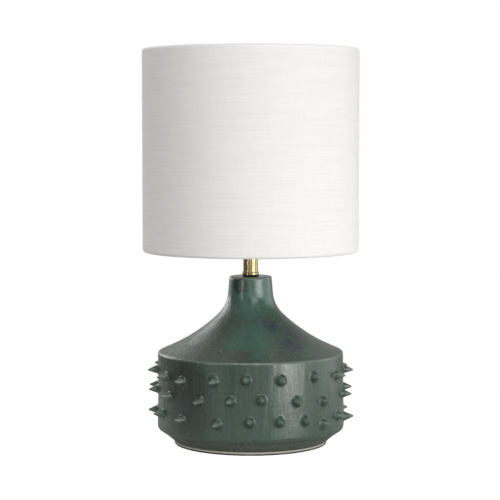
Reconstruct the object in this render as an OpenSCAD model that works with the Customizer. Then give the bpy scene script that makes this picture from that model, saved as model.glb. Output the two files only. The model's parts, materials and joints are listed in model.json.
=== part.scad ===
// Table lamp: studded ceramic base, brass neck, drum shade on a harp, medium screw socket.
// Millimetres. The origin is the centre of the resting face, +Z is up, -Y is the front.

/* [Ceramic base] */
// Height of the ceramic, from the table to the top of the neck
body_h = 236.3; // [220:0.1:260]
// Diameter of the drum wall at its lower edge
base_d = 263.5; // [240:0.5:280]
// Diameter of the drum wall at the shoulder
shoulder_d = 262; // [236:1:276]
// Diameter of the foot ring
foot_d = 217; // [190:1:220]
// Height at which the drum wall starts
drum_z = 19.5; // [14:0.5:24]
// Diameter of the top of the neck
neck_d = 60; // [52:1:64]
// Height of the straight part of the neck
neck_h = 24; // [16:1:30]
// Slope of the shoulder at its outer edge, in degrees
shoulder_slope = 24.5; // [22:0.1:32]
// Thickness of the ceramic wall
wall_t = 8; // [6:0.5:9]

/* [Studs] */
// Length of a stud
stud_l = 15; // [10:0.5:18]
// Diameter of a stud at its foot
stud_d = 13; // [10:0.5:15]
// How far the studs lean from square, in degrees
stud_lean = 5; // [0:1:10]

/* [Brass neck] */
// Diameter of the neck tube
tube_d = 20.7; // [18:0.1:24]
// Height of the check ring's underside above the ceramic
ring_gap = 2; // [1.5:0.5:4]
// Height at which the neck tube ends
tube_top = 283; // [276:1:290]

/* [Harp] */
// Width of the harp
harp_w = 114; // [100:1:130]
// Diameter of the harp wire
harp_wire = 4; // [3:0.5:5]
// Height of the middle of the bow
harp_top = 528; // [510:1:530]

/* [Shade] */
// Diameter of the shade
shade_d = 304.8; // [280:0.2:330]
// Height of the shade's lower edge above the table
shade_z = 271; // [265:0.1:280]
// Height of the shade
shade_h = 283.6; // [283:0.1:290]

/* [Cord] */
// Diameter of the cord
cord_d = 5.8; // [5:0.1:6.4]
// Number of half turns in the coil of spare cord
coil_half_turns = 10; // [6:2:12]

/* [Hidden] */
$fn = 96;

// Gaps between pieces
run_gap = 0.05;        // round a shaft that turns or slides
loose_gap = 0.5;       // round a hole that only lets a part through
far = 400;             // longer than any part, for cuts that go right through

// Ceramic
base_r = base_d / 2;
shoulder_r = shoulder_d / 2;
foot_r = foot_d / 2;
neck_r = neck_d / 2;
felt_t = 1.8;
foot_band = 2.7;            // bare clay between the felt and the glaze
foot_w = 10;                // width of the foot ring
foot_recess = 5;            // hollow under the floor
drum_edge_r = 6;            // rounding of the drum's lower edge
drum_edge_turn = 60;        // how far that rounding turns, in degrees
shoulder_edge_r = 3;        // rounding of the shoulder's edge
neck_edge_r = 1.5;            // rounding of the neck's top edge
neck_slope = 85.6;          // the neck widens a little as it goes down
sweep_r = 46;               // hollow sweep below the neck
sweep_slope = 44;           // slope at the end of that sweep
flare_r = 232;              // gentler sweep that runs out to the shoulder
floor_z = felt_t + foot_recess;
floor_t = 9;
cavity_bevel = 13;          // bevel inside, over the sloping foot
service_hole_r = 28;        // hole in the floor, for reaching the nut
arc_steps = 10;             // facets in each rounded part of an outline

// Studs: three rings pressed on by hand. Each stud is [angle from the front, height]
stud_tip_r = 1.5;
stud_skirt = 1.1;           // clay smoothed out round the foot of a stud
stud_root = 4;              // how deep a stud is set into the wall
stud_turn = 137;            // step that varies the lean from stud to stud
high_ring = [
    [-147, 104], [-128, 106], [-108, 106], [-86, 105], [-62, 101], [-45, 100],
    [-22, 104], [-3, 107], [18, 106], [41, 107], [64, 103], [87, 105],
    [108, 103], [129, 106], [151, 104], [172, 105], [193, 102]
];
middle_ring = [
    [-139, 75], [-118, 78], [-98, 79], [-83, 78], [-58, 75], [-32, 75],
    [-12, 78], [6, 80], [28, 76], [49, 72], [76, 74], [97, 77],
    [118, 75], [140, 78], [160, 76], [182, 74], [202, 77]
];
low_ring = [
    [-132, 47], [-112, 52], [-92, 46], [-68, 48], [-45, 47], [-20, 46],
    [-1, 50], [17, 50], [34, 49], [49, 40], [66, 46], [86, 38],
    [106, 43], [126, 47], [146, 45], [166, 48], [187, 48], [208, 50]
];

// Pipe and the clamp inside the neck
pipe_r = 5;
pipe_bore_r = 3.6;
ledge_t = 9;                // ceramic that the clamp squeezes
pipe_hole_r = 6.5;
cushion_t = 2;
washer_t = 1.6;
lock_t = 1.2;
nut_h = 5;
nut_af = 14.3;              // across flats
ledge_z = body_h - ledge_t;
cushion_z = ledge_z - cushion_t;
washer_z = cushion_z - washer_t;
lock_z = washer_z - lock_t;
nut_z = lock_z - nut_h;
pipe_z = nut_z - 4;

// Brass neck
tube_r = tube_d / 2;
tube_t = 1;
ring_z = body_h + ring_gap;
ring_h = 5;
ring_over = 1.4;            // check ring beyond the tube
spigot_h = 3;               // shoulder that centres the tube
cap_ring_t = 1.5;

// Saddle and harp
saddle_z = tube_top + cap_ring_t;
saddle_t = 1.6;
saddle_w = 12;
saddle_rise = 5;
post_x = 29;
post_z = saddle_z + saddle_rise + saddle_t;
wire_r = harp_wire / 2;
lap_z = post_z + 9;         // where post and harp are each half round
lap_h = 8;
lap_gap = 0.1;
sleeve_h = 12;
sleeve_t = 1.3;
sleeve_z = lap_z - 2;
harp_leg = 16;              // straight wire that a sleeve slides up
harp_flare = 30;            // angle at which the legs spread
harp_lean = 4;              // angle at which they come together again
flare_bend_r = 14;
hip_bend_r = 40;
crown_t = 5;                // flattened middle of the bow
crown_d = 14;
rivet_r = 2;
rivet_head_r = 3.2;
rivet_head_t = 1.2;
stud_thread_r = 3.175;
collar_t = 1.5;
stud_pin_h = 15;

// The legs reach full width at the hips; the crown arcs then meet on the axis
spread_l = (harp_w / 2 - wire_r - post_x - (flare_bend_r + hip_bend_r) * (1 - cos(harp_flare)))
    / sin(harp_flare);
hip_x = harp_w / 2 - wire_r - hip_bend_r * (1 - cos(harp_lean));
hip_z = lap_z + lap_h + harp_leg + flare_bend_r * sin(harp_flare) + spread_l * cos(harp_flare)
    + hip_bend_r * (sin(harp_flare) + sin(harp_lean));
crown_rise = (1 - sin(harp_lean)) / cos(harp_lean);
side_l = (harp_top - hip_z - hip_x * crown_rise)
    / (cos(harp_lean) - sin(harp_lean) * crown_rise);
crown_bend_r = (hip_x - side_l * sin(harp_lean)) / cos(harp_lean);

// Socket, all heights from its underside
socket_z = saddle_z + saddle_t;
boss_r = 8;
boss_h = 5;
set_screw_r = 1.5;
cap_r = 17.9;
cap_h = 20;
sheet_t = 0.8;
shell_r = 17;
shell_z = 15;
shell_top = 62;
liner_r = 16.3;
liner_t = 0.9;
block_r = 15.2;
block_z = 18;
block_h = 18;
block_flat = 13.4;
level_z = block_z + block_h / 2;     // terminal screws and switch stem
terminal_r = 1.7;
screw_shell_r = 13.15;      // clear radius inside the screw shell
thread_depth = 0.5;
thread_pitch = 3.6;
contact_z = block_z + block_h;
key_r = 2;
key_depth = 9;              // how deep the stem sits in the block
knob_y = 24;
knob_h = 13;
knob_r = 5.5;

// Bulb, all heights from its tip
bulb_z = socket_z + contact_z + 2.2;
bulb_r = 30;
bulb_h = 110;
bulb_neck_r = 13.5;
bulb_neck_fillet = 40;
bulb_cap_r = 13.05;
bulb_cap_h = 26.5;
glass_t = 1;

// Shade
shade_r = shade_d / 2;
shade_top = shade_z + shade_h;
fabric_t = 0.9;
liner_sheet_t = 0.5;
ring_wire = 4.4;
rim_gap = 0.1;
shade_ring_r = shade_r - fabric_t - liner_sheet_t - 2 * rim_gap - ring_wire / 2;
rim_r = ring_wire / 2 + liner_sheet_t + 2 * rim_gap + fabric_t;   // outside of a rolled edge
fold_h = 9;                 // fabric turned down inside the rim
hub_r = 12;
hub_t = 4;
arm_d = 3.2;
arm_count = 3;
hub_z = harp_top + crown_t / 2 + collar_t;

// Finial
finial_z = hub_z + hub_t;
finial_foot_r = 6.5;
finial_waist_r = 3.9;
finial_ball_r = 6.5;
finial_h = 22;

// Cord
cord_r = cord_d / 2;
bushing_z = 31;
bushing_r = 6;
flange_r = 8.5;
flange_t = 2.5;
inner_bend_r = 30;
bend_r = 12;
cord_lift = 0.5;            // the cord lies just above the resting face
cord_z = cord_r + cord_lift;
coil_pitch = cord_d + 0.4;
coil_r = 30;                // first half turn
coil_y = base_r + 85;
coil_last_r = coil_r + coil_half_turns * coil_pitch / 2;
cross_z = cord_z + coil_pitch;
landing = 4;                // straight cord just before the coil
cross_angle = 45;
inner_angle = 30;
plug_angle = 15;
plug_z = 7.4;
plug_h = 13.6;
plug_l = 26;
plug_w = 25;
plug_x = 48;
plug_entry = 4;             // how far the cord runs into the plug
blade_l = 17;
blade_h = 6.3;
blade_t = 1.5;
blade_gap = 12.7;
blade_hole_r = 1.6;

// Points on an arc about a centre; first is 1 where the outline already holds the arc's start
function arc(centre, r, from, to, steps = arc_steps, first = 0) = [
    for (i = [first : steps])
        let (a = from + (to - from) * i / steps)
        centre + r * [cos(a), sin(a)]
];

// Points from p to q on the arc that leaves p along direction a
function tangent_arc(p, a, q, steps = arc_steps) =
    let (
        chord = q - p,
        turn = 2 * ((atan2(chord.y, chord.x) - a + 540) % 360 - 180),
        r = norm(chord) / (2 * sin(turn / 2)),
        centre = p + r * [-sin(a), cos(a)]
    )
    [for (i = [0 : steps]) centre + r * [sin(a + turn * i / steps), -cos(a + turn * i / steps)]];

// Outline of the neck and shoulder, top to bottom, on a surface sunk in by t
function shoulder_line(t) =
    let (
        top = neck_r - t,
        neck_end = [top + neck_h / tan(neck_slope), body_h - neck_h],
        sweep_centre = neck_end + (sweep_r + t) * [sin(neck_slope), cos(neck_slope)],
        flare_start = sweep_centre - (sweep_r + t) * [sin(sweep_slope), cos(sweep_slope)],
        flare_centre = flare_start + (flare_r + t) * [sin(sweep_slope), cos(sweep_slope)]
    )
    concat(
        arc(sweep_centre, sweep_r + t, 270 - neck_slope, 270 - sweep_slope),
        arc(flare_centre, flare_r + t, 270 - sweep_slope, 270 - shoulder_slope, first = 1)
    );

// The shoulder runs on straight from the end of its sweep to radius r
function shoulder_height(t, r) =
    let (end = shoulder_line(t)[2 * arc_steps])
    end.y - (r - end.x) * tan(shoulder_slope);

shoulder_edge_x = shoulder_r - shoulder_edge_r * (1 - sin(shoulder_slope));
shoulder_edge_z = shoulder_height(0, shoulder_edge_x);

// A hair-thin band over the place where two lengths of rod meet
module joint_band(d) {
    cylinder(h = 1, d = d + 2 * run_gap, center = true);
}

// A run of rod: each call draws its piece and puts its children at its end, along +Z
module straight(d, length) {
    joint_band(d);
    cylinder(h = length, d = d);
    translate([0, 0, length])
        children();
}

// Bends towards the direction roll, measured from +X
module bend(d, radius, angle, roll = 0) {
    joint_band(d);
    rotate([0, 0, roll]) {
        translate([radius, 0, 0])
            rotate([90, 0, 180])
                rotate_extrude(angle = angle)
                    translate([radius, 0])
                        circle(d = d);
        translate([radius * (1 - cos(angle)), 0, radius * sin(angle)])
            rotate([0, angle, 0])
                rotate([0, 0, -roll])
                    children();
    }
}

function jog_slant(height, angle) = (height - 2 * bend_r * (1 - cos(angle))) / sin(angle);
function jog_run(height, angle) = 2 * bend_r * sin(angle) + jog_slant(height, angle) * cos(angle);

// Cord shifts sideways by height, towards the direction roll, and goes on as before
module jog(height, angle, roll) {
    bend(cord_d, bend_r, angle, roll)
        straight(cord_d, jog_slant(height, angle))
            bend(cord_d, bend_r, angle, roll + 180)
                children();
}

// Cord winds outwards in half turns
module coil(turn = 0) {
    if (turn < coil_half_turns)
        bend(cord_d, coil_r + turn * coil_pitch / 2, 180, 180)
            coil(turn + 1)
                children();
    else
        children();
}

module tube(r, t, h) {
    difference() {
        cylinder(h = h, r = r);
        translate([0, 0, -1])
            cylinder(h = h + 2, r = r - t);
    }
}

module stud() {
    tip = [0, stud_l - stud_tip_r];
    cone_r = stud_d / 2;
    flank = atan2(cone_r - stud_tip_r, tip.y);
    rotate_extrude($fn = 48)
        polygon(concat(
            [[0, -stud_root], [cone_r + stud_skirt, -stud_root], [cone_r + stud_skirt, -0.3]],
            [[cone_r, stud_skirt]],
            arc(tip, stud_tip_r, flank, 90, 3)
        ));
}

// A stud leans a little, in a direction that changes from one to the next
module stud_ring(places, height_key) {
    for (i = [0 : len(places) - 1]) {
        z = places[i][1];
        wall = shoulder_r + (base_r - shoulder_r) * (shoulder_edge_z - z) / shoulder_edge_z;
        lean = stud_lean * [sin(i * stud_turn + height_key), cos(i * stud_turn + height_key) - 0.6];
        rotate([0, 0, places[i][0]])
            translate([0, -wall, z])
                rotate([90 + lean.x, 0, lean.y])
                    stud();
    }
}

module vessel_outside() {
    edge_centre = [base_r - drum_edge_r, drum_z + drum_edge_r];
    undercut_start = edge_centre
        + drum_edge_r * [cos(drum_edge_turn), -sin(drum_edge_turn)];
    foot_top = [foot_r, felt_t + foot_band];
    rotate_extrude($fn = 180)
        polygon(concat(
            [[0, felt_t], [foot_r, felt_t]],
            [for (i = [arc_steps : -1 : 1])
                tangent_arc(undercut_start, 270 - drum_edge_turn, foot_top)[i]],
            arc(edge_centre, drum_edge_r, -drum_edge_turn, 0),
            arc([shoulder_r - shoulder_edge_r, shoulder_edge_z - shoulder_edge_r * cos(shoulder_slope)],
                shoulder_edge_r, 0, 90 - shoulder_slope),
            [for (i = [2 * arc_steps : -1 : 0]) shoulder_line(0)[i]],
            arc([neck_r - neck_edge_r, body_h - neck_edge_r], neck_edge_r, 5, 90, 5),
            [[0, body_h]]
        ));
}

module vessel_inside() {
    inner_r = base_r - wall_t;
    floor_top = floor_z + floor_t;
    rotate_extrude($fn = 180)
        polygon(concat(
            [[0, floor_top], [inner_r - cavity_bevel, floor_top], [inner_r, floor_top + cavity_bevel]],
            [[shoulder_r - wall_t, shoulder_height(wall_t, shoulder_r - wall_t)]],
            [for (i = [2 * arc_steps : -1 : 0]) shoulder_line(wall_t)[i]],
            [[neck_r - wall_t, ledge_z], [0, ledge_z]]
        ));
}

module ceramic_body() {
    color([0.23, 0.31, 0.29])
        difference() {
            union() {
                vessel_outside();
                stud_ring(high_ring, 20);
                stud_ring(middle_ring, 80);
                stud_ring(low_ring, 150);
            }
            vessel_inside();
            translate([0, 0, -1])
                cylinder(h = floor_z + 1, r = foot_r - foot_w);
            cylinder(h = floor_z + floor_t + 1, r = service_hole_r);
            translate([0, 0, ledge_z - 1])
                cylinder(h = ledge_t + 2, r = pipe_hole_r);
            translate([0, base_r - 3 * wall_t, bushing_z])
                rotate([-90, 0, 0])
                    cylinder(h = 5 * wall_t, r = bushing_r + run_gap);
        }
}

module felt_pad() {
    color([0.12, 0.12, 0.12])
        cylinder(h = felt_t, r = foot_r - 0.5);
}

module cord_grommet() {
    inner_y = base_r - wall_t - 1.5;
    outer_y = base_r + 0.1;
    color([0.1, 0.1, 0.1])
        translate([0, inner_y, bushing_z])
            rotate([-90, 0, 0])
                difference() {
                    union() {
                        cylinder(h = outer_y - inner_y, r = bushing_r);
                        translate([0, 0, outer_y - inner_y])
                            cylinder(h = flange_t, r1 = flange_r, r2 = flange_r - 1);
                    }
                    translate([0, 0, -1])
                        cylinder(h = outer_y - inner_y + flange_t + 2, r = cord_r + run_gap);
                }
}

module lamp_pipe() {
    top = socket_z + boss_h + 3;
    color([0.72, 0.68, 0.55])
        translate([0, 0, pipe_z])
            tube(pipe_r, pipe_r - pipe_bore_r, top - pipe_z);
}

module flat_ring(z, r, hole_r, t) {
    translate([0, 0, z])
        tube(r, r - hole_r, t);
}

module neck_cushion() {
    color([0.08, 0.08, 0.08])
        flat_ring(cushion_z, 16, pipe_r + 0.3, cushion_t);
}

module neck_washer() {
    color([0.7, 0.7, 0.72])
        flat_ring(washer_z, 15, pipe_r + 0.3, washer_t);
}

// Split spring washer
module lock_washer() {
    color([0.62, 0.62, 0.64])
        difference() {
            flat_ring(lock_z, 9, pipe_r + 0.3, lock_t);
            translate([0, -0.5, lock_z - 1])
                cube([far, 1, lock_t + 2]);
        }
}

module pipe_nut() {
    color([0.75, 0.72, 0.6])
        translate([0, 0, nut_z])
            difference() {
                cylinder(h = nut_h, r = nut_af / 2 / cos(30), $fn = 6);
                translate([0, 0, -1])
                    cylinder(h = nut_h + 2, r = pipe_r + run_gap);
            }
}

module neck_gasket() {
    color([0.06, 0.06, 0.06])
        flat_ring(body_h, tube_r + 0.9, pipe_r + 0.3, ring_gap);
}

// Turned brass ring with a shoulder inside the tube
module check_ring() {
    rim = tube_r + ring_over;
    color([0.71, 0.58, 0.35])
        rotate_extrude()
            polygon([
                [pipe_r + 0.2, ring_z],
                [rim - 0.4, ring_z],
                [rim, ring_z + 0.4],
                [rim, ring_z + 2.6],
                [rim - 0.5, ring_z + 3.4],
                [tube_r + 0.6, ring_z + 3.8],
                [tube_r + 0.6, ring_z + ring_h - 0.3],
                [tube_r + 0.3, ring_z + ring_h],
                [tube_r - tube_t - run_gap, ring_z + ring_h],
                [tube_r - tube_t - run_gap, ring_z + ring_h + spigot_h],
                [pipe_r + 0.2, ring_z + ring_h + spigot_h]
            ]);
}

module neck_tube() {
    color([0.71, 0.58, 0.35])
        translate([0, 0, ring_z + ring_h])
            tube(tube_r, tube_t, tube_top - ring_z - ring_h);
}

module top_ring() {
    color([0.71, 0.58, 0.35])
        rotate_extrude()
            polygon([
                [pipe_r + 0.2, tube_top - spigot_h],
                [tube_r - tube_t - run_gap, tube_top - spigot_h],
                [tube_r - tube_t - run_gap, tube_top],
                [tube_r + 0.6, tube_top],
                [tube_r + 0.6, tube_top + cap_ring_t - 0.4],
                [tube_r + 0.2, tube_top + cap_ring_t],
                [pipe_r + 0.2, tube_top + cap_ring_t]
            ]);
}

// Upright rod with one end cut to a half round, on the side that +X points to
module lapped_rod(bottom, top, lap_bottom, lap_top) {
    difference() {
        translate([0, 0, bottom])
            cylinder(h = top - bottom, d = harp_wire);
        translate([lap_gap / 2 - harp_wire, -harp_wire, lap_bottom])
            cube([harp_wire, 2 * harp_wire, lap_top - lap_bottom]);
    }
}

module harp_saddle() {
    side = [[0, 0], [19, 0], [27, saddle_rise], [32, saddle_rise]];
    strip = concat(side, [for (i = [3 : -1 : 0]) side[i] + [0, saddle_t]]);
    color([0.78, 0.76, 0.7]) {
        difference() {
            for (flip = [0, 1])
                mirror([flip, 0, 0])
                    translate([0, saddle_w / 2, saddle_z])
                        rotate([90, 0, 0])
                            linear_extrude(saddle_w)
                                polygon(strip);
            translate([0, 0, saddle_z - 1])
                cylinder(h = saddle_t + 2, r = pipe_r + 0.2);
        }
        for (flip = [0, 1])
            mirror([flip, 0, 0])
                translate([-post_x, 0, 0]) {
                    lapped_rod(post_z, lap_z + lap_h, lap_z, lap_z + lap_h + 1);
                    translate([0, 0, post_z - 0.5])
                        cylinder(h = 3, d = harp_wire + 2.4);
                }
    }
}

// One leg and half of the crown
module harp_side() {
    lap_bottom = lap_z + lap_gap;
    leg_top = lap_z + lap_h + harp_leg;
    translate([post_x, 0, 0]) {
        lapped_rod(lap_bottom, leg_top, lap_bottom - 1, lap_bottom + lap_h);
        translate([0, 0, leg_top])
            bend(harp_wire, flare_bend_r, harp_flare, 0)
                straight(harp_wire, spread_l)
                    bend(harp_wire, hip_bend_r, harp_flare + harp_lean, 180)
                        straight(harp_wire, side_l)
                            bend(harp_wire, crown_bend_r, 90 - harp_lean, 180);
    }
}

module harp() {
    color([0.8, 0.78, 0.72])
        difference() {
            union() {
                harp_side();
                mirror([1, 0, 0])
                    harp_side();
                translate([0, 0, harp_top - crown_t / 2])
                    cylinder(h = crown_t, d = crown_d);
            }
            translate([0, 0, harp_top - crown_t])
                cylinder(h = 2 * crown_t, r = rivet_r + run_gap);
        }
}

// Threaded stud, riveted through the crown of the harp
module harp_stud() {
    crown_z = harp_top + crown_t / 2;
    color([0.71, 0.58, 0.35]) {
        translate([0, 0, crown_z - crown_t - rivet_head_t])
            cylinder(h = rivet_head_t, r = rivet_head_r);
        translate([0, 0, crown_z - crown_t])
            cylinder(h = crown_t, r = rivet_r);
        translate([0, 0, crown_z])
            cylinder(h = collar_t, r = 5);
        translate([0, 0, crown_z + collar_t])
            cylinder(h = stud_pin_h, r = stud_thread_r);
    }
}

module harp_sleeve(x) {
    color([0.71, 0.58, 0.35])
        translate([x, 0, sleeve_z])
            tube(wire_r + run_gap + sleeve_t, sleeve_t, sleeve_h);
}

module sleeve_left() {
    harp_sleeve(-post_x);
}

module sleeve_right() {
    harp_sleeve(post_x);
}

module socket_cap() {
    color([0.74, 0.6, 0.36])
        translate([0, 0, socket_z])
            difference() {
                rotate_extrude()
                    polygon([
                        [pipe_r + run_gap, 0],
                        [boss_r, 0],
                        [boss_r, boss_h],
                        [boss_r + 1.5, boss_h + 1.5],
                        [cap_r - 1.8, cap_h - 8],
                        [cap_r, cap_h - 5.5],
                        [cap_r, cap_h],
                        [cap_r - sheet_t, cap_h],
                        [cap_r - sheet_t, cap_h - 5.2],
                        [cap_r - 1.8 - sheet_t, cap_h - 7.4],
                        [boss_r + 0.4, boss_h + 2],
                        [pipe_r + run_gap, boss_h + 1.4]
                    ]);
                translate([0, 0, boss_h / 2])
                    rotate([0, 90, 135])
                        cylinder(h = far, r = set_screw_r + run_gap);
            }
}

module set_screw() {
    color([0.7, 0.7, 0.72])
        translate([0, 0, socket_z + boss_h / 2])
            rotate([0, 90, 135])
                translate([0, 0, pipe_r + run_gap]) {
                    cylinder(h = boss_r - pipe_r, r = set_screw_r);
                    translate([0, 0, boss_r - pipe_r])
                        difference() {
                            cylinder(h = 1.8, r = 2.2);
                            translate([-0.4, -3, 0.9])
                                cube([0.8, 6, 2]);
                        }
                }
}

// Hole through a socket wall for the switch stem
module key_hole(r) {
    translate([0, 0, level_z])
        rotate([90, 0, 0])
            cylinder(h = far, r = r);
}

module socket_shell() {
    bead = 0.5;
    color([0.74, 0.6, 0.36])
        translate([0, 0, socket_z])
            difference() {
                rotate_extrude()
                    polygon([
                        [shell_r - sheet_t / 2, shell_z],
                        [shell_r, shell_z],
                        [shell_r, shell_top - 3],
                        [shell_r + bead, shell_top - 2.2],
                        [shell_r + bead, shell_top - 1],
                        [shell_r, shell_top],
                        [shell_r - sheet_t / 2, shell_top]
                    ]);
                key_hole(key_r + loose_gap);
            }
}

module socket_liner() {
    color([0.82, 0.74, 0.6])
        translate([0, 0, socket_z])
            difference() {
                translate([0, 0, shell_z + 1])
                    tube(liner_r, liner_t, shell_top - shell_z - 2);
                key_hole(key_r + loose_gap);
            }
}

module terminal_places() {
    for (side = [0, 180])
        translate([0, 0, socket_z + level_z])
            rotate([0, 90, side])
                translate([0, 0, block_flat])
                    children();
}

module socket_body() {
    color([0.2, 0.13, 0.09])
        difference() {
            translate([0, 0, socket_z + block_z])
                intersection() {
                    cylinder(h = block_h, r = block_r);
                    translate([-block_flat, -far, 0])
                        cube([2 * block_flat, 2 * far, block_h]);
                }
            translate([0, -block_r + key_depth, socket_z + level_z])
                rotate([90, 0, 0])
                    cylinder(h = far, r = key_r + run_gap);
            terminal_places()
                translate([0, 0, -6])
                    cylinder(h = 7, r = terminal_r + run_gap);
        }
}

module terminal_screws() {
    color([0.74, 0.6, 0.36])
        terminal_places() {
            translate([0, 0, -5])
                cylinder(h = 5, r = terminal_r);
            difference() {
                cylinder(h = 1.7, r = 3.2);
                translate([-0.4, -4, 1])
                    cube([0.8, 8, 1]);
            }
        }
}

// Outline of a rolled thread between two heights
function thread_line(r, from, turns) = [
    for (i = [0 : 2 * turns])
        [r + (i % 2 == 0 ? 0 : thread_depth), from + i * thread_pitch / 2]
];

module screw_shell() {
    turns = 5;
    sheet = 0.4;
    line = thread_line(screw_shell_r, contact_z + 1.5, turns);
    top = contact_z + 1.5 + turns * thread_pitch;
    color([0.8, 0.78, 0.7])
        translate([0, 0, socket_z])
            rotate_extrude()
                polygon(concat(
                    [[6, contact_z], [screw_shell_r + sheet, contact_z]],
                    [for (p = line) p + [sheet, 0]],
                    [[screw_shell_r + sheet, top + 2], [screw_shell_r, top + 2]],
                    [for (i = [2 * turns : -1 : 0]) line[i]],
                    [[screw_shell_r, contact_z + 0.5], [6, contact_z + 0.5]]
                ));
}

// Springy tongue under the bulb's tip
module centre_contact() {
    w = 4;
    color([0.74, 0.6, 0.36])
        translate([0, w / 2, socket_z + contact_z])
            rotate([90, 0, 0])
                linear_extrude(w)
                    polygon([[-4.5, 0], [-2.5, 0], [3, 1.6], [3, 2.1], [-2.7, 0.5], [-4.5, 0.5]]);
}

module switch_stem() {
    inner = block_r - key_depth + 0.2;
    color([0.74, 0.6, 0.36])
        translate([0, -inner, socket_z + level_z])
            rotate([90, 0, 0])
                cylinder(h = knob_y + 3 - inner, r = key_r);
}

module switch_knob() {
    flutes = 10;
    color([0.07, 0.07, 0.07])
        translate([0, -knob_y, socket_z + level_z])
            rotate([90, 0, 0])
                difference() {
                    union() {
                        cylinder(h = knob_h - 1, r = knob_r);
                        translate([0, 0, knob_h - 1])
                            cylinder(h = 1, r1 = knob_r, r2 = knob_r - 1);
                    }
                    translate([0, 0, -1])
                        cylinder(h = 4, r = key_r);
                    for (i = [0 : flutes - 1])
                        rotate([0, 0, i * 360 / flutes])
                            translate([knob_r + 0.5, 0, 2])
                                cylinder(h = knob_h, r = 1.2);
                }
}

module bulb_contact() {
    color([0.6, 0.6, 0.6])
        translate([0, 0, bulb_z])
            cylinder(h = 1.2, r1 = 3.6, r2 = 4.6);
}

module bulb_insulator() {
    color([0.05, 0.05, 0.06])
        translate([0, 0, bulb_z + 1.2])
            cylinder(h = 3, r1 = 5, r2 = 9.5);
}

module bulb_cap() {
    turns = 5;
    root_r = bulb_cap_r - thread_depth;
    start = 6;
    sheet = 0.4;
    color([0.78, 0.78, 0.76])
        translate([0, 0, bulb_z])
            rotate_extrude()
                polygon(concat(
                    [[8.6, 4.2], [9.6, 4.2]],
                    thread_line(root_r, start, turns),
                    [[root_r, bulb_cap_h], [root_r - sheet, bulb_cap_h]],
                    [[root_r - sheet, start], [8.6, 4.8]]
                ));
}

function bulb_line(t) =
    let (
        centre_z = bulb_h - bulb_r,
        fillet_x = bulb_neck_r + bulb_neck_fillet,
        drop = sqrt(pow(bulb_neck_fillet + bulb_r, 2) - pow(fillet_x, 2)),
        join = atan2(-drop, fillet_x)
    )
    concat(
        arc([fillet_x, centre_z - drop], bulb_neck_fillet + t, 180, 180 + join),
        arc([0, centre_z], bulb_r - t, join, 90, 2 * arc_steps, first = 1)
    );

module bulb_glass() {
    seat_r = bulb_cap_r - thread_depth - 0.5;
    outside = bulb_line(0);
    inside = bulb_line(glass_t);
    last = len(inside) - 1;
    color([0.95, 0.95, 0.93])
        translate([0, 0, bulb_z])
            rotate_extrude()
                polygon(concat(
                    [[seat_r - glass_t, bulb_cap_h - 3], [seat_r, bulb_cap_h - 3]],
                    [[seat_r, bulb_cap_h], [bulb_neck_r, bulb_cap_h + 1]],
                    outside,
                    [for (i = [last : -1 : 0]) inside[i]],
                    [[bulb_neck_r - glass_t, bulb_cap_h + 1.4], [seat_r - glass_t, bulb_cap_h]]
                ));
}

module wire_ring(z) {
    translate([0, 0, z])
        rotate_extrude($fn = 180)
            translate([shade_ring_r, 0])
                circle(d = ring_wire, $fn = 32);
}

// Arms that drop from the top ring to the hub
module spider_arms(d) {
    arm_start = [7, hub_z + hub_t / 2];
    reach = [shade_ring_r, shade_top - rim_r] - arm_start;
    for (i = [0 : arm_count - 1])
        rotate([0, 0, 90 + i * 360 / arm_count])
            translate([arm_start.x, 0, arm_start.y])
                rotate([0, 90 - atan2(reach.y, reach.x), 0])
                    cylinder(h = norm(reach), d = d, $fn = 32);
}

// Top ring, arms and hub, welded together
module shade_spider() {
    color([0.93, 0.93, 0.92]) {
        wire_ring(shade_top - rim_r);
        difference() {
            union() {
                translate([0, 0, hub_z])
                    cylinder(h = hub_t, r = hub_r);
                spider_arms(arm_d);
            }
            translate([0, 0, hub_z - 5])
                cylinder(h = hub_t + 10, r = stud_thread_r + run_gap);
        }
    }
}

module shade_bottom_ring() {
    color([0.93, 0.93, 0.92])
        wire_ring(shade_z + rim_r);
}

// Stiff lining bonded to the back of the fabric
module shade_liner() {
    r = shade_r - fabric_t - rim_gap;
    color([0.97, 0.97, 0.96])
        translate([0, 0, shade_z + rim_r])
            tube(r, liner_sheet_t, shade_h - 2 * rim_r, $fn = 180);
}

// Fabric wall, rolled round both rings and turned in behind them, notched for the arms
module shade_fabric() {
    low = shade_z + rim_r;
    high = shade_top - rim_r;
    centre_x = shade_r - rim_r;
    inner_r = rim_r - fabric_t;
    color([0.95, 0.94, 0.91])
        difference() {
            rotate_extrude($fn = 180)
                polygon(concat(
                    arc([centre_x, high], rim_r, 0, 180),
                    [[centre_x - rim_r, high - fold_h], [centre_x - inner_r, high - fold_h]],
                    arc([centre_x, high], inner_r, 180, 0),
                    arc([centre_x, low], inner_r, 0, -180),
                    [[centre_x - inner_r, low + fold_h], [centre_x - rim_r, low + fold_h]],
                    arc([centre_x, low], rim_r, -180, 0)
                ));
            spider_arms(arm_d + loose_gap);
        }
}

// Turned finial: foot, waist and ball
module finial() {
    waist_z = 5;
    ball_z = finial_h - finial_ball_r;
    waist_angle = -acos(finial_waist_r / finial_ball_r);
    color([0.71, 0.58, 0.35])
        translate([0, 0, finial_z])
            difference() {
                rotate_extrude()
                    polygon(concat(
                        [[0, 0], [finial_foot_r - 0.4, 0], [finial_foot_r, 0.5]],
                        [[finial_foot_r, 2], [finial_waist_r + 0.8, 3.2], [finial_waist_r, waist_z]],
                        arc([0, ball_z], finial_ball_r, waist_angle, 90, 2 * arc_steps)
                    ));
                translate([0, 0, -1])
                    cylinder(h = stud_pin_h - hub_t + 2, r = stud_thread_r + run_gap);
            }
}

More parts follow.
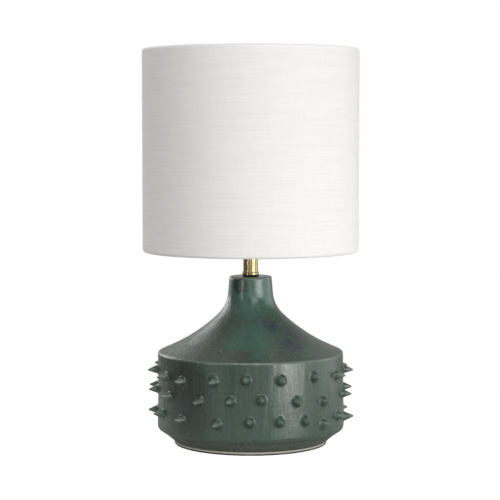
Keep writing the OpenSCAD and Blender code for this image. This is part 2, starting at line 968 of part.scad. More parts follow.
// One cord, from the socket down the pipe, out at the back, over its own coil and round it
module power_cord() {
    start_z = socket_z + block_z - 1;
    exit_y = base_r + flange_t + 4;
    over_y = exit_y + jog_run(bushing_z - cross_z, cross_angle);
    inner_run = jog_run(cross_z - cord_z, inner_angle);
    color([0.09, 0.09, 0.09])
        translate([0, 0, start_z])
            rotate([180, 0, 0])
                straight(cord_d, start_z - bushing_z - inner_bend_r)
                    bend(cord_d, inner_bend_r, 90, -90)
                        straight(cord_d, exit_y - inner_bend_r)
                            jog(bushing_z - cross_z, cross_angle, 90)
                                straight(cord_d, coil_y - landing - inner_run - over_y)
                                    jog(cross_z - cord_z, inner_angle, 90)
                                        straight(cord_d, landing)
                                            bend(cord_d, coil_r / 2, 180, 180)
                                                coil()
                                                    bend(cord_d, coil_last_r, 90, 180)
                                                        cord_end();
}

// Short lead that rises from the table to the middle of the plug
module cord_end() {
    rise = jog_run(plug_z - cord_z, plug_angle);
    straight(cord_d, (plug_x - rise) / 2)
        jog(plug_z - cord_z, plug_angle, -90)
            straight(cord_d, (plug_x - rise) / 2 + plug_entry);
}

module at_plug() {
    translate([plug_x, coil_y - coil_last_r, plug_z])
        rotate([0, 90, 0])
            children();
}

module plug_body() {
    color([0.08, 0.08, 0.08])
        at_plug()
            difference() {
                union() {
                    translate([0, 0, 8])
                        intersection() {
                            translate([-plug_h / 2, -plug_w / 2, 0])
                                cube([plug_h, plug_w, plug_l - 8]);
                            translate([-far / 2, 0, 12])
                                rotate([0, 90, 0])
                                    cylinder(h = far, r = 15);
                        }
                    cylinder(h = 9, r1 = cord_r + 1.2, r2 = cord_r + 2.6);
                }
                translate([0, 0, -1])
                    cylinder(h = plug_entry + 1, r = cord_r + run_gap);
            }
}

module plug_blades() {
    color([0.78, 0.7, 0.45])
        at_plug()
            for (side = [-1, 1])
                translate([-blade_h / 2, side * blade_gap / 2 - blade_t / 2, plug_l])
                    difference() {
                        cube([blade_h, blade_t, blade_l]);
                        translate([blade_h / 2, -1, blade_l - 4])
                            rotate([-90, 0, 0])
                                cylinder(h = blade_t + 2, r = blade_hole_r);
                    }
}

ceramic_body();
felt_pad();
cord_grommet();
lamp_pipe();
neck_cushion();
neck_washer();
lock_washer();
pipe_nut();
neck_gasket();
check_ring();
neck_tube();
top_ring();
harp_saddle();
harp();
harp_stud();
sleeve_left();
sleeve_right();
socket_cap();
set_screw();
socket_shell();
socket_liner();
socket_body();
terminal_screws();
screw_shell();
centre_contact();
switch_stem();
switch_knob();
bulb_cap();
bulb_insulator();
bulb_contact();
bulb_glass();
shade_spider();
shade_bottom_ring();
shade_liner();
shade_fabric();
finial();
power_cord();
plug_body();
plug_blades();
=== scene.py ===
"""Table lamp: studded stoneware base, brass neck and a linen drum shade.

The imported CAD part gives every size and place. This script adds the glaze, the weave, the worn
metal, a white floor and soft light. Lengths are metres, +Z is up and -Y is the front.
"""
import json
import math

import bpy
import numpy as np
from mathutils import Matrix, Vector


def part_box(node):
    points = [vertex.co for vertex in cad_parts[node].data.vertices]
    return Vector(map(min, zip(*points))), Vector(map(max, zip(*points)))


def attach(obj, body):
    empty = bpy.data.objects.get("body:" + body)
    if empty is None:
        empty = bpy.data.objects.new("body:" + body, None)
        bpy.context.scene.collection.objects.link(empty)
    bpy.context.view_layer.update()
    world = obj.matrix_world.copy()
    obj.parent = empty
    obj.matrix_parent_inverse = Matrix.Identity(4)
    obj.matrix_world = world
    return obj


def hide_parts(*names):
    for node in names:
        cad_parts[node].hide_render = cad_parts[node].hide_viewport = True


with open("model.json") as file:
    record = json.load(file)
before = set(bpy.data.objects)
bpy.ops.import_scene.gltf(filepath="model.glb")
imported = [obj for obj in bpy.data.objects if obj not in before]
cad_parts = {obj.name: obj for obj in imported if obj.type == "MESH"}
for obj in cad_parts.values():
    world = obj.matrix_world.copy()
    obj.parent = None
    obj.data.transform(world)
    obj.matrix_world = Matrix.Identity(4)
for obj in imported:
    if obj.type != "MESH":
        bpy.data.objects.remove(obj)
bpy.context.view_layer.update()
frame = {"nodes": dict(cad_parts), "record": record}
cad = frame["nodes"]
MM = 0.001


# ---- Helpers for meshes ----

def read_points(mesh, what="co"):
    """Vertex places, or their normals, as an array with one row a vertex."""
    flat = np.empty(len(mesh.vertices) * 3, np.float32)
    mesh.vertices.foreach_get(what, flat)
    return flat.reshape(-1, 3).astype(float)


def write_points(mesh, points):
    mesh.vertices.foreach_set("co", points.astype(np.float32).ravel())
    mesh.update()


def paint(mesh, name, values):
    """Stores one number a vertex, for a material to read with Material.painted."""
    layer = mesh.attributes.new(name, "FLOAT", "POINT")
    layer.data.foreach_set("value", values.astype(np.float32))


def smoothstep(value, low, high):
    share = np.clip((value - low) / (high - low), 0, 1)
    return share * share * (3 - 2 * share)


def ripple(points, size, waves, seed):
    """Smooth unevenness between about -1 and 1, with swells about size metres apart."""
    random = np.random.default_rng(seed)
    total = np.zeros(len(points))
    for wave in range(waves):
        direction = random.normal(size=3)
        direction *= 2 * math.pi / size * random.uniform(0.7, 1.4) / np.linalg.norm(direction)
        total += np.sin(points @ direction + random.uniform(0, 2 * math.pi))
    return total / math.sqrt(waves)


def neighbour_mean(mesh, values, steps):
    """Values with one row a vertex, averaged with their neighbours' again and again."""
    ends = np.empty(len(mesh.edges) * 2, np.int32)
    mesh.edges.foreach_get("vertices", ends)
    first, second = ends.reshape(-1, 2).T
    size = len(values)
    count = np.bincount(first, minlength=size) + np.bincount(second, minlength=size)
    for step in range(steps):
        columns = []
        for column in values.T:
            total = np.bincount(first, column[second], size) + np.bincount(second, column[first], size)
            columns.append(total / count)
        values = np.stack(columns, axis=1)
    return values


def new_object(name, mesh):
    made = bpy.data.objects.new(name, mesh)
    bpy.context.scene.collection.objects.link(made)
    return made


def with_modifiers(made):
    """The object's mesh as its modifiers leave it."""
    graph = bpy.context.evaluated_depsgraph_get()
    return bpy.data.meshes.new_from_object(made.evaluated_get(graph))


def remeshed(source, voxel, smoothing):
    """An even, softened copy of a CAD node's mesh, for surface detail."""
    draft = new_object("draft", source.data.copy())
    grid = draft.modifiers.new("grid", "REMESH")
    grid.mode = "VOXEL"
    grid.voxel_size = voxel
    soften = draft.modifiers.new("soften", "SMOOTH")
    soften.factor = 0.5
    soften.iterations = smoothing
    mesh = with_modifiers(draft)
    bpy.data.objects.remove(draft)
    mesh.materials.clear()
    return mesh


def dress(mesh, name, slot, body):
    """Shows mesh as a piece in place of the CAD nodes it stands for, with its slot's material."""
    mesh.shade_smooth()
    mesh.materials.append(MATERIALS[slot])
    made = new_object(name, mesh)
    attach(made, body)
    return made


# ---- Helpers for materials ----

def rgb(red, green, blue):
    """A display colour from 0 to 255 as the linear colour that Blender uses."""
    shares = [value / 255 for value in (red, green, blue)]
    linear = [share / 12.92 if share < 0.04 else ((share + 0.055) / 1.055) ** 2.4 for share in shares]
    return (*linear, 1.0)


class Nodes:
    """A shader's node tree. Each method adds nodes and gives the socket that holds their result."""

    def __init__(self, owner):
        owner.use_nodes = True
        self.tree = owner.node_tree

    def feed(self, socket, value):
        if isinstance(value, bpy.types.NodeSocket):
            self.tree.links.new(value, socket)
        else:
            socket.default_value = value

    def add(self, kind, inputs, **settings):
        node = self.tree.nodes.new("ShaderNode" + kind)
        for key, value in settings.items():
            setattr(node, key, value)
        for key, value in inputs.items():
            self.feed(node.inputs[key], value)
        return node

    def place(self, stretch=(1, 1, 1)):
        """Where the point is on the object, multiplied along each axis."""
        where = self.add("TexCoord", {}).outputs["Object"]
        return self.add("Mapping", {"Vector": where, "Scale": stretch}).outputs["Vector"]

    def around(self):
        """Distance from the lamp's axis and height, for marks that run round a turned part."""
        parts = self.add("SeparateXYZ", {"Vector": self.place()})
        flat = self.add("CombineXYZ", {"X": parts.outputs["X"], "Y": parts.outputs["Y"]})
        reach = self.add("VectorMath", {0: flat.outputs["Vector"]}, operation="LENGTH").outputs["Value"]
        return self.add("CombineXYZ", {"X": reach, "Z": parts.outputs["Z"]}).outputs["Vector"]

    def height(self):
        return self.add("SeparateXYZ", {"Vector": self.place()}).outputs["Z"]

    def noise(self, size, detail=2.0, rough=0.5, place=None):
        """Clouds about size metres across, from 0 to 1."""
        inputs = {"Vector": place or self.place(), "Scale": 1 / size, "Detail": detail, "Roughness": rough}
        return self.add("TexNoise", inputs).outputs["Fac"]

    def painted(self, name):
        return self.add("Attribute", {}, attribute_name=name).outputs["Fac"]

    def seen_by_camera(self):
        """1 where the camera looks straight at it, 0 where it only lights or mirrors."""
        return self.add("LightPath", {}).outputs["Is Camera Ray"]

    def stretch(self, value, low, high, to_low=0.0, to_high=1.0):
        """Value taken smoothly from the range low..high to the range to_low..to_high."""
        inputs = {"Value": value, "From Min": low, "From Max": high, "To Min": to_low, "To Max": to_high}
        return self.add("MapRange", inputs, interpolation_type="SMOOTHSTEP").outputs["Result"]

    def calc(self, operation, first, second):
        return self.add("Math", {0: first, 1: second}, operation=operation).outputs["Value"]

    def mix(self, share, first, second):
        """Colour that goes from first to second as share goes from 0 to 1."""
        node = self.add("Mix", {"Factor": share}, data_type="RGBA")
        self.feed(node.inputs[6], first)
        self.feed(node.inputs[7], second)
        return node.outputs[2]

    def bump(self, height, depth, under=None):
        """Relief in which height 0 to 1 stands for depth metres, laid over the relief under it."""
        inputs = {"Height": height, "Distance": depth}
        if under is not None:
            inputs["Normal"] = under
        return self.add("Bump", inputs).outputs["Normal"]


class Material(Nodes):
    """A procedural material made of nodes."""

    def __init__(self, name):
        self.data = bpy.data.materials.new(name)
        super().__init__(self.data)

    def finish(self, **inputs):
        """Sets the surface's inputs, named with _ for each space, and gives the material."""
        surface = self.tree.nodes["Principled BSDF"]
        for key, value in inputs.items():
            self.feed(surface.inputs[key.replace("_", " ")], value)
        return self.data


# ---- Materials ----

def glaze():
    """Satin stoneware glaze: charcoal, teal and brown pools that break pale over every edge, with painted
    shade and painted light mixed in where marked.
    """
    m = Material("glaze")
    cloud = m.noise(45 * MM, detail=4, rough=0.6)
    mottle = m.noise(8 * MM, detail=5, rough=0.65)
    fine = m.noise(1.6 * MM, detail=4, rough=0.7)
    drawn = m.noise(4 * MM, detail=4, rough=0.7, place=m.place((1, 1, 0.05)))
    stud = m.painted("stud")

    teal = m.calc("ADD", m.painted("teal"), m.calc("MULTIPLY", m.calc("SUBTRACT", cloud, 0.5), 1.2))
    body = m.mix(m.stretch(teal, -0.1, 0.9), rgb(40, 66, 50), rgb(44, 88, 78))
    body = m.mix(m.stretch(m.painted("brown"), 0.05, 0.95, 0, 0.85), body, rgb(50, 57, 45))
    body = m.mix(m.stretch(m.painted("navy"), 0.1, 0.9, 0, 0.85), body, rgb(34, 42, 58))
    # Painted light: lighter green on the neck, where the shade above keeps the soft boxes off it
    body = m.mix(m.stretch(m.height(), 0.17, 0.21, 0, 0.8), body, rgb(66, 108, 94))
    # Paler olive band under the drum: partly the glaze's own tone, partly painted light from the bright
    # floor below
    body = m.mix(m.stretch(m.height(), 20 * MM, 15 * MM, 0, 0.8), body, rgb(86, 97, 80))
    # Charcoal pools: darker glaze, and at the front left and the neck's left also painted shade
    body = m.mix(m.stretch(m.painted("charcoal_and_painted_shade"), 0.0, 0.9, 0, 0.9), body, rgb(16, 29, 21))
    body = m.mix(m.stretch(mottle, 0.48, 0.68, 0, 0.6), body, rgb(20, 36, 32))
    body = m.mix(m.stretch(drawn, 0.5, 0.75, 0, 0.45), body, rgb(62, 90, 78))
    body = m.mix(m.stretch(fine, 0.55, 0.8, 0, 0.3), body, rgb(86, 108, 92))
    # Painted light: lighter green over the studs, where the key light catches their flanks
    body = m.mix(m.stretch(stud, 0.1, 0.9, 0, 0.6), body, rgb(62, 100, 86))

    # Pale where the glaze breaks thin over sharp edges; along the shoulder's edge this is also a painted
    # highlight
    ragged = m.calc("ADD", m.painted("edge"), m.calc("MULTIPLY", m.calc("SUBTRACT", fine, 0.5), 0.6))
    break_and_highlight_share = m.calc("MULTIPLY", m.stretch(ragged, 0.3, 1.0, 0, 0.5), m.stretch(stud, 0, 0.5, 1, 0.5))
    body = m.mix(break_and_highlight_share, body, rgb(150, 160, 146))
    # Darker in sharp corners, such as round the studs' roots: pooled glaze, with painted shade
    body = m.mix(m.stretch(ragged, -0.1, -0.7, 0, 0.6), body, rgb(18, 28, 26))
    clay = m.mix(m.stretch(fine, 0.4, 0.75), rgb(240, 234, 220), rgb(208, 198, 178))

    bare = m.painted("bare")
    satin = m.stretch(m.height(), 0.17, 0.215, 0.24, 0.15)
    satin_spread = m.calc("ADD", m.stretch(mottle, 0.35, 0.7, 0, 0.06), m.stretch(drawn, 0.35, 0.7, 0, 0.08))
    relief = m.bump(fine, 0.16 * MM)
    relief = m.bump(drawn, 0.16 * MM, relief)
    return m.finish(
        Base_Color=m.mix(bare, body, clay),
        Roughness=m.calc("MAXIMUM", m.calc("MULTIPLY", bare, 0.85), m.calc("ADD", satin, satin_spread)),
        IOR=1.8,
        Normal=relief)


def felt():
    """Pressed felt: matted fibres with a little lint."""
    m = Material("felt")
    fibre = m.noise(0.5 * MM, detail=5, rough=0.8)
    clump = m.noise(5 * MM, detail=3)
    colour = m.mix(m.stretch(fibre, 0.35, 0.75), rgb(24, 24, 25), rgb(62, 61, 60))
    return m.finish(
        Base_Color=m.mix(m.stretch(clump, 0.3, 0.8, 0, 0.3), colour, rgb(34, 33, 34)),
        Roughness=0.95,
        Sheen_Weight=0.5,
        Normal=m.bump(fibre, 0.5 * MM))


def moulded(name, dark, light, rough):
    """Moulded plastic, rubber or glass: a fine skin with faint scuffs."""
    m = Material(name)
    skin = m.noise(0.8 * MM, detail=3)
    scuff = m.noise(7 * MM, detail=5, rough=0.75)
    return m.finish(
        Base_Color=m.mix(m.stretch(scuff, 0.45, 0.75), dark, light),
        Roughness=m.stretch(scuff, 0.3, 0.8, rough, rough + 0.15),
        Normal=m.bump(skin, 0.04 * MM))


def turned_metal(name, bright, dull, rough):
    """Turned or spun metal: fine rings round the axis, clouded with tarnish."""
    m = Material(name)
    rings = m.noise(0.5 * MM, detail=4, rough=0.7, place=m.around())
    cloud = m.noise(9 * MM, detail=5, rough=0.65)
    speck = m.noise(0.9 * MM, detail=3)
    colour = m.mix(m.stretch(cloud, 0.35, 0.7), bright, dull)
    return m.finish(
        Base_Color=m.mix(m.stretch(speck, 0.62, 0.8, 0, 0.5), colour, dull),
        Metallic=1.0,
        Roughness=m.stretch(cloud, 0.3, 0.75, rough, rough + 0.16),
        Normal=m.bump(rings, 0.02 * MM))


def cast_metal(name, bright, dull, rough):
    """Plated or dull metal with an even grain and handling marks."""
    m = Material(name)
    grain = m.noise(0.7 * MM, detail=4, rough=0.7)
    cloud = m.noise(6 * MM, detail=5, rough=0.7)
    return m.finish(
        Base_Color=m.mix(m.stretch(cloud, 0.4, 0.75), bright, dull),
        Metallic=1.0,
        Roughness=m.stretch(cloud, 0.3, 0.75, rough, rough + 0.18),
        Normal=m.bump(grain, 0.02 * MM))


def antique_brass():
    """Brass drawn lengthwise, toned olive brown, with the lacquer rubbed through in places."""
    m = Material("antique_brass")
    drawn = m.noise(0.6 * MM, detail=4, rough=0.75, place=m.place((1, 1, 0.04)))
    cloud = m.noise(8 * MM, detail=5, rough=0.65)
    speck = m.noise(0.8 * MM, detail=3)
    colour = m.mix(m.stretch(cloud, 0.35, 0.7), rgb(192, 170, 126), rgb(166, 146, 104))
    colour = m.mix(m.stretch(speck, 0.6, 0.8, 0, 0.25), colour, rgb(96, 82, 56))
    return m.finish(
        Base_Color=m.mix(m.stretch(drawn, 0.5, 0.8, 0, 0.4), colour, rgb(214, 198, 158)),
        Metallic=1.0,
        Roughness=m.stretch(cloud, 0.3, 0.75, 0.16, 0.24),
        Normal=m.bump(drawn, 0.006 * MM))


def paper(name):
    """Pressed paper board: fibres and a few darker flecks."""
    m = Material(name)
    fibre = m.noise(1.2 * MM, detail=5, rough=0.8, place=m.place((1, 1, 0.4)))
    fleck = m.noise(2.5 * MM, detail=2)
    colour = m.mix(m.stretch(fibre, 0.35, 0.7), rgb(203, 184, 150), rgb(172, 150, 114))
    return m.finish(
        Base_Color=m.mix(m.stretch(fleck, 0.65, 0.8), colour, rgb(128, 104, 74)),
        Roughness=0.85,
        Normal=m.bump(fibre, 0.08 * MM))


def enamel(name, colour, shadow, rough, grain_size):
    """White coating: slight orange peel and clouds of dust."""
    m = Material(name)
    peel = m.noise(grain_size, detail=2)
    dust = m.noise(14 * MM, detail=5, rough=0.7)
    return m.finish(
        Base_Color=m.mix(m.stretch(dust, 0.4, 0.8, 0, 0.6), colour, shadow),
        Roughness=m.stretch(dust, 0.3, 0.8, rough, rough + 0.15),
        Normal=m.bump(peel, 0.05 * MM))


def frosted_glass():
    """Inside-frosted bulb: a white skin under clear glass."""
    m = Material("bulb_glass")
    frost = m.noise(1.5 * MM, detail=4, rough=0.7)
    cloud = m.noise(18 * MM, detail=2)
    return m.finish(
        Base_Color=m.mix(m.stretch(frost, 0.3, 0.8), rgb(240, 240, 238), rgb(226, 227, 226)),
        Roughness=m.stretch(cloud, 0.3, 0.8, 0.45, 0.6),
        Coat_Weight=0.8,
        Coat_Roughness=0.06,
        Subsurface_Weight=0.3,
        Subsurface_Radius=(4 * MM, 4 * MM, 4 * MM),
        Normal=m.bump(frost, 0.01 * MM))


def linen():
    """Bleached linen: fine uneven threads both ways, and slubs a touch warmer than the ground."""
    m = Material("linen")
    weft = m.noise(0.8 * MM, detail=4, rough=0.6, place=m.place((0.012, 0.012, 1)))
    warp = m.noise(0.9 * MM, detail=3, rough=0.6, place=m.place((1, 1, 0.04)))
    cloud = m.noise(30 * MM, detail=3)
    weave = m.calc("ADD", m.calc("MULTIPLY", weft, 0.7), m.calc("MULTIPLY", warp, 0.3))
    colour = m.mix(m.stretch(weave, 0.35, 0.65), rgb(235, 233, 229), rgb(244, 243, 241))
    colour = m.mix(m.stretch(m.painted("slub"), 0.1, 1.0, 0, 0.6), colour, rgb(240, 238, 233))
    colour = m.mix(m.stretch(cloud, 0.3, 0.8, 0, 0.35), colour, rgb(234, 233, 230))
    relief = m.bump(weft, 0.1 * MM)
    return m.finish(
        Base_Color=colour,
        Roughness=0.92,
        Sheen_Weight=0.15,
        Specular_IOR_Level=0.2,
        Normal=m.bump(warp, 0.07 * MM, relief))


MATERIALS = {
    "glaze": glaze(),
    "felt": felt(),
    "linen": linen(),
    "antique_brass": antique_brass(),
    "bulb_glass": frosted_glass(),
    "cardboard": paper("cardboard"),
    "black_plastic": moulded("black_plastic", rgb(26, 26, 27), rgb(44, 44, 45), 0.42),
    "rubber": moulded("rubber", rgb(20, 20, 20), rgb(38, 38, 38), 0.65),
    "phenolic": moulded("phenolic", rgb(48, 33, 25), rgb(74, 52, 40), 0.3),
    "cord_jacket": moulded("cord_jacket", rgb(28, 28, 29), rgb(48, 48, 48), 0.5),
    "black_glass": moulded("black_glass", rgb(14, 14, 17), rgb(30, 30, 36), 0.12),
    "zinc_pipe": cast_metal("zinc_pipe", rgb(206, 194, 150), rgb(160, 150, 112), 0.32),
    "steel": cast_metal("steel", rgb(204, 205, 208), rgb(158, 160, 164), 0.3),
    "nickel": cast_metal("nickel", rgb(218, 214, 206), rgb(178, 172, 162), 0.2),
    "solder": cast_metal("solder", rgb(176, 177, 180), rgb(128, 129, 132), 0.45),
    "socket_brass": turned_metal("socket_brass", rgb(226, 198, 132), rgb(184, 154, 92), 0.22),
    "white_enamel": enamel("white_enamel", rgb(238, 238, 236), rgb(214, 212, 206), 0.4, 2 * MM),
    "liner": enamel("liner", rgb(246, 246, 243), rgb(232, 231, 226), 0.5, 6 * MM),
}


# ---- Pieces ----

def spots(points, places):
    """How deep each point is in soft round patches, each [angle from the front, height, radius]."""
    depth = np.zeros(len(points))
    for angle, height, radius in places:
        turn = math.radians(angle)
        on_level = np.abs(points[:, 2] - height) < radius
        reach = np.median(np.hypot(*points[on_level, :2].T))
        centre = np.array([math.sin(turn) * reach, -math.cos(turn) * reach, height])
        distance = np.linalg.norm(points - centre, axis=1) / radius
        depth = np.maximum(depth, smoothstep(distance, 1.0, 0.2))
    return depth


# Pools of glaze colour: angle from the front, height and radius. The charcoal pools at the front left and on
# the neck's left also paint in shade on the side away from the key light.
POOLS = {
    "teal": [(0, 0.17, 0.06), (-4, 0.2, 0.035), (150, 0.16, 0.08), (215, 0.07, 0.08)],
    "navy": [(38, 0.150, 0.026), (55, 0.163, 0.026), (28, 0.172, 0.018), (-150, 0.15, 0.035)],
    "brown": [(-35, 0.135, 0.035), (-8, 0.133, 0.028), (20, 0.128, 0.024), (170, 0.1, 0.05)],
    "charcoal_and_painted_shade": [(-42, 0.09, 0.06), (-38, 0.05, 0.055), (-30, 0.225, 0.018), (120, 0.08, 0.06)],
}


def potters_touch(points, low, high):
    """How far each point of the wall stands out or in. The foot and the neck's rim stay true."""
    height = points[:, 2]
    foot_share = smoothstep(height, low.z + 2.5 * MM, low.z + 6 * MM)
    neck_share = smoothstep(height, high.z, high.z - 4 * MM)
    upright = points * (1, 1, 0.12)
    shift = 0.35 * MM * ripple(points, 110 * MM, 10, seed=3)
    shift += 0.08 * MM * ripple(upright, 14 * MM, 16, seed=4)
    shift += 0.05 * MM * ripple(upright, 5 * MM, 16, seed=5)
    shift += 0.03 * MM * ripple(points, 5 * MM, 16, seed=6)
    return shift * foot_share * neck_share


def edges(mesh, points, normals):
    """1 on a sharp edge, -1 in a sharp corner and 0 on an even surface."""
    proud = points - neighbour_mean(mesh, points, 8)
    outward = (proud * normals).sum(axis=1)[:, None]
    sharp = 0.6 * MM
    return np.clip(neighbour_mean(mesh, outward, 2)[:, 0] / sharp, -1, 1)


def stud_share(points, low, high):
    """0 on the drum wall, rising to 1 at the tips of the studs."""
    reach = np.hypot(points[:, 0], points[:, 1])
    height = points[:, 2]
    tall = high.z - low.z
    outer = reach > 0.8 * reach.max()
    # The wall is a straight line between two levels clear of the studs
    level = [low.z + 0.1 * tall, low.z + 0.49 * tall]
    wall_reach = [np.median(reach[outer & (np.abs(height - at) < 2 * MM)]) for at in level]
    wall = np.interp(height, level, wall_reach)
    on_drum = (height > level[0]) & (height < level[1])
    stud_length = reach.max() - wall_reach[0]
    return np.clip((reach - wall) / stud_length, 0, 1) * on_drum


def stoneware():
    """The vessel as the potter left it: edges softened by glaze, walls and studs a little uneven."""
    low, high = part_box("ceramic_body")
    mesh = remeshed(cad["ceramic_body"], 1.2 * MM, 5)
    points = read_points(mesh)
    normals = read_points(mesh, "normal")
    write_points(mesh, points + normals * potters_touch(points, low, high)[:, None])
    paint(mesh, "edge", edges(mesh, points, normals))
    paint(mesh, "stud", stud_share(points, low, high))
    paint(mesh, "bare", smoothstep(points[:, 2], low.z + 3.6 * MM, low.z + 2.4 * MM))
    for colour, places in POOLS.items():
        paint(mesh, colour, spots(points, places))
    vessel = dress(mesh, "stoneware", "glaze", "lamp")
    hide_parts("ceramic_body")


def grid_mesh(name, points):
    """Mesh over a grid of points that closes on itself both ways."""
    rows, columns = points.shape[:2]
    index = np.arange(rows * columns).reshape(rows, columns)
    right = np.roll(index, -1, axis=1)
    below = np.roll(index, -1, axis=0)
    corner = np.roll(below, -1, axis=1)
    faces = np.stack([index, right, corner, below], axis=-1).reshape(-1, 4)
    mesh = bpy.data.meshes.new(name)
    mesh.from_pydata(points.reshape(-1, 3), [], faces.tolist())
    mesh.update()
    return mesh


def slub_relief(rows, columns, seed):
    """Relief of a slubby weave over a grid, from 0 on the ground to 1 on the thickest threads."""
    random = np.random.default_rng(seed)
    relief = np.zeros((rows, columns))
    for slub in range(2200):
        length = random.uniform(0.12, 1.0) ** 2
        runs_level = random.random() < 0.85
        if runs_level:
            half_rows, half_columns = 1, int(8 + 60 * length)
        else:
            half_rows, half_columns = int(6 + 20 * length), 1
        row = random.integers(half_rows, rows - half_rows)
        column = random.integers(0, columns)
        down = np.cos(np.linspace(-0.8, 0.8, 2 * half_rows + 1) * math.pi / 2)
        along = np.cos(np.linspace(-1, 1, 2 * half_columns + 1) * math.pi / 2) ** 0.6
        patch = np.outer(down, along) * random.uniform(0.35, 1.0)
        window = np.ix_(
            row + np.arange(-half_rows, half_rows + 1),
            (column + np.arange(-half_columns, half_columns + 1)) % columns)
        relief[window] = np.maximum(relief[window], patch)
    return relief


def thread_relief(rows, columns, seed):
    """Uneven threads: the level ones differ more than the upright ones."""
    random = np.random.default_rng(seed)
    thread = random.normal(size=(rows, 1)) * 0.7 + random.normal(size=(1, columns)) * 0.3
    return 0.02 * MM * np.clip(thread, -2, 2)


def lap_relief(angle, radius):
    """Step of the glued lap, a strip at the back."""
    from_middle = np.abs(angle - math.pi / 2) * radius
    return 0.25 * MM * smoothstep(from_middle, 7 * MM, 6 * MM)


ROLL_STEPS = 12


def roll(across, up, radius):
    """Points over the top of a ring, from its outer side to its inner side."""
    turn = np.linspace(0, math.pi, ROLL_STEPS + 2)[1:-1]
    return [(across + radius * math.cos(t), up + radius * math.sin(t)) for t in turn]


def shade_section(radius, cloth, rim, low, high, rows):
    """Section of the wall, rolled over both rings and turned in: points [from the axis, height]."""
    ring = (radius - rim, high - rim)
    hem = high - rim - 9 * MM
    wall = [(radius, level) for level in np.linspace(low + rim, high - rim, rows)]
    hem_edge = [(radius - 2 * rim, hem), (radius - 2 * rim + cloth, hem)]
    top = roll(*ring, rim) + hem_edge + roll(*ring, rim - cloth)[::-1]
    inside = [(radius - cloth, high - rim), (radius - cloth, low + rim)]
    bottom = [(reach, low + high - level) for reach, level in reversed(top)]
    return np.array(wall + top + inside + bottom)


def drum_shade():
    """Linen wall rolled over both rings, with slubs, a glued lap at the back and slightly soft edges."""
    low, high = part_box("shade_fabric")
    ring_low, ring_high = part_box("shade_bottom_ring")
    liner_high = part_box("shade_liner")[1]
    cloth = high.x - liner_high.x - 0.1 * MM
    rim = (ring_low.z + ring_high.z) / 2 - low.z
    radius = high.x - 0.3 * MM
    rows = round((high.z - low.z - 2 * rim) / MM)
    columns = round(2 * math.pi * radius / MM)
    section = shade_section(radius, cloth, rim, low.z, high.z, rows)
    angle = np.linspace(0, 2 * math.pi, columns, endpoint=False)

    slub = np.zeros((len(section), columns))
    slub[:rows] = slub_relief(rows, columns, seed=11)
    relief = 0.16 * MM * slub
    relief[:rows] += thread_relief(rows, columns, seed=12)
    outer = np.zeros(len(section))
    outer[:rows + ROLL_STEPS] = 1
    outer[-ROLL_STEPS:] = 1
    relief += np.outer(outer, lap_relief(angle, radius))

    sway = 0.12 * MM * np.sin(3 * angle + 0.7) + 0.1 * MM * np.sin(7 * angle)
    reach = section[:, :1] + relief + sway
    level = np.repeat(section[:, 1:], columns, axis=1)
    points = np.stack([reach * np.cos(angle), reach * np.sin(angle), level], axis=-1)
    mesh = grid_mesh("drum_shade", points)
    paint(mesh, "slub", slub.ravel())
    shade = dress(mesh, "drum_shade", "linen", "shade")
    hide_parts("shade_fabric")


def foot_felt():
    """Felt pad with a soft, slightly ragged rim."""
    mesh = remeshed(cad["felt_pad"], 0.9 * MM, 2)
    points = read_points(mesh)
    normals = read_points(mesh, "normal")
    low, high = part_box("felt_pad")
    middle = (low.z + high.z) / 2
    rim_share = 1 - np.clip(np.abs(points[:, 2] - middle) / (high.z - middle), 0, 1)
    ragged = 0.25 * MM * ripple(points, 4 * MM, 12, seed=21) * rim_share
    write_points(mesh, points + normals * ragged[:, None])
    pad = dress(mesh, "foot_felt", "felt", "lamp")
    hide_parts("felt_pad")


def dress_cad_nodes():
    """Every CAD node that stays in view takes the material of its slot in the record."""
    for part in frame["record"]["subparts"]:
        node = cad[part["node"]]
        node.data.materials.clear()
        node.data.materials.append(MATERIALS[part["material_slot"]])


# ---- Studio ----

def aim(made, target):
    made.rotation_euler = (Vector(target) - made.location).to_track_quat("-Z", "Y").to_euler()


def soft_box(name, azimuth, height, distance, size, power):
    """Area light at an angle from the front, level with height, turned to the lamp's axis."""
    light = bpy.data.lights.new(name, "AREA")
    light.shape = "RECTANGLE"
    light.size, light.size_y = size
    light.energy = power
    made = bpy.data.objects.new(name, light)
    bpy.context.scene.collection.objects.link(made)
    turn = math.radians(azimuth)
    made.location = (distance * math.sin(turn), -distance * math.cos(turn), height)
    return made


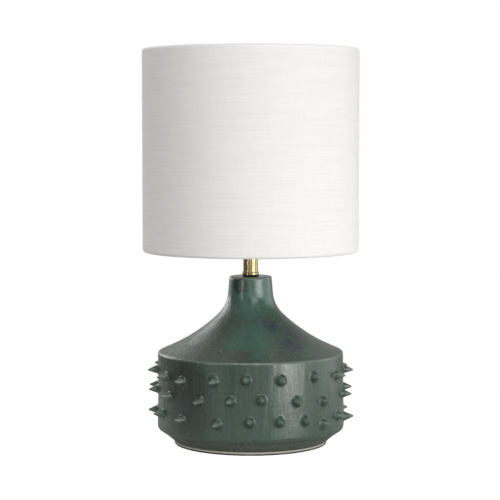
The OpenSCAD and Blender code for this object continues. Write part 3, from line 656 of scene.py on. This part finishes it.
# Name, angle from the front, height, distance, size and power in watts
SOFT_BOXES = [
    ("key", 47, 0.03, 1.9, (1.1, 0.85), 15.5),
    ("strip", -43, 0.36, 1.9, (0.14, 0.5), 2.6),
    ("front", 0, 0.25, 2.6, (1.4, 1.0), 3.2),
    ("side", 102, 0.35, 1.9, (1.9, 1.5), 10.5),
    ("window", 20, 1.0, 1.8, (0.7, 0.9), 4),
    ("rim", -135, 0.8, 1.9, (1.4, 1.2), 11),
    ("high", -8, 2.0, 1.5, (1.6, 1.6), 16.5),
]


def studio():
    for name, azimuth, height, distance, size, power in SOFT_BOXES:
        light = soft_box(name, azimuth, height, distance, size, power)
        aim(light, (0, 0, min(height, 0.5)))


def floor_paper():
    """Pale paper, lifted to white where the camera looks straight at it."""
    m = Material("floor")
    dust = m.noise(0.3, detail=2)
    return m.finish(
        Base_Color=m.mix(dust, rgb(214, 214, 214), rgb(210, 210, 210)),
        Roughness=0.9,
        Emission_Color=rgb(255, 255, 255),
        Emission_Strength=m.calc("MULTIPLY", m.seen_by_camera(), 0.85))


def floor():
    """Disc that the camera sees melt into the white behind it."""
    bpy.ops.mesh.primitive_circle_add(vertices=128, radius=0.6, fill_type="NGON")
    made = bpy.context.object
    made.name = "floor"
    made.data.materials.append(floor_paper())


def surroundings():
    """White to the camera. As light it is dim level with the lamp, brighter above and behind."""
    world = bpy.data.worlds.new("surroundings")
    bpy.context.scene.world = world
    sky = Nodes(world)
    background = sky.tree.nodes["Background"]
    direction = sky.add("TexCoord", {}).outputs["Generated"]
    parts = sky.add("SeparateXYZ", {"Vector": direction}).outputs
    above = sky.stretch(parts["Z"], 0.15, 0.7, 0.18, 0.42)
    behind = sky.stretch(parts["Y"], 0.65, 1.0, 0.0, 0.3)
    light = sky.calc("ADD", above, behind)
    strength = sky.calc("MAXIMUM", light, sky.seen_by_camera())
    sky.feed(background.inputs["Strength"], strength)
    sky.feed(background.inputs["Color"], rgb(255, 255, 255))


def camera():
    """A long lens in front of the lamp, level with the middle of the shade and tilted down a little."""
    tilt = math.radians(4.02)
    data = bpy.data.cameras.new("camera")
    data.lens = 120.5
    made = bpy.data.objects.new("camera", data)
    bpy.context.scene.collection.objects.link(made)
    made.location = (-0.0009, -2.355, 0.4383)
    made.rotation_euler = (math.pi / 2 - tilt, 0, 0)
    bpy.context.scene.camera = made


dress_cad_nodes()
stoneware()
foot_felt()
drum_shade()
floor()
surroundings()
studio()
camera()
bpy.context.scene.view_settings.view_transform = "Standard"
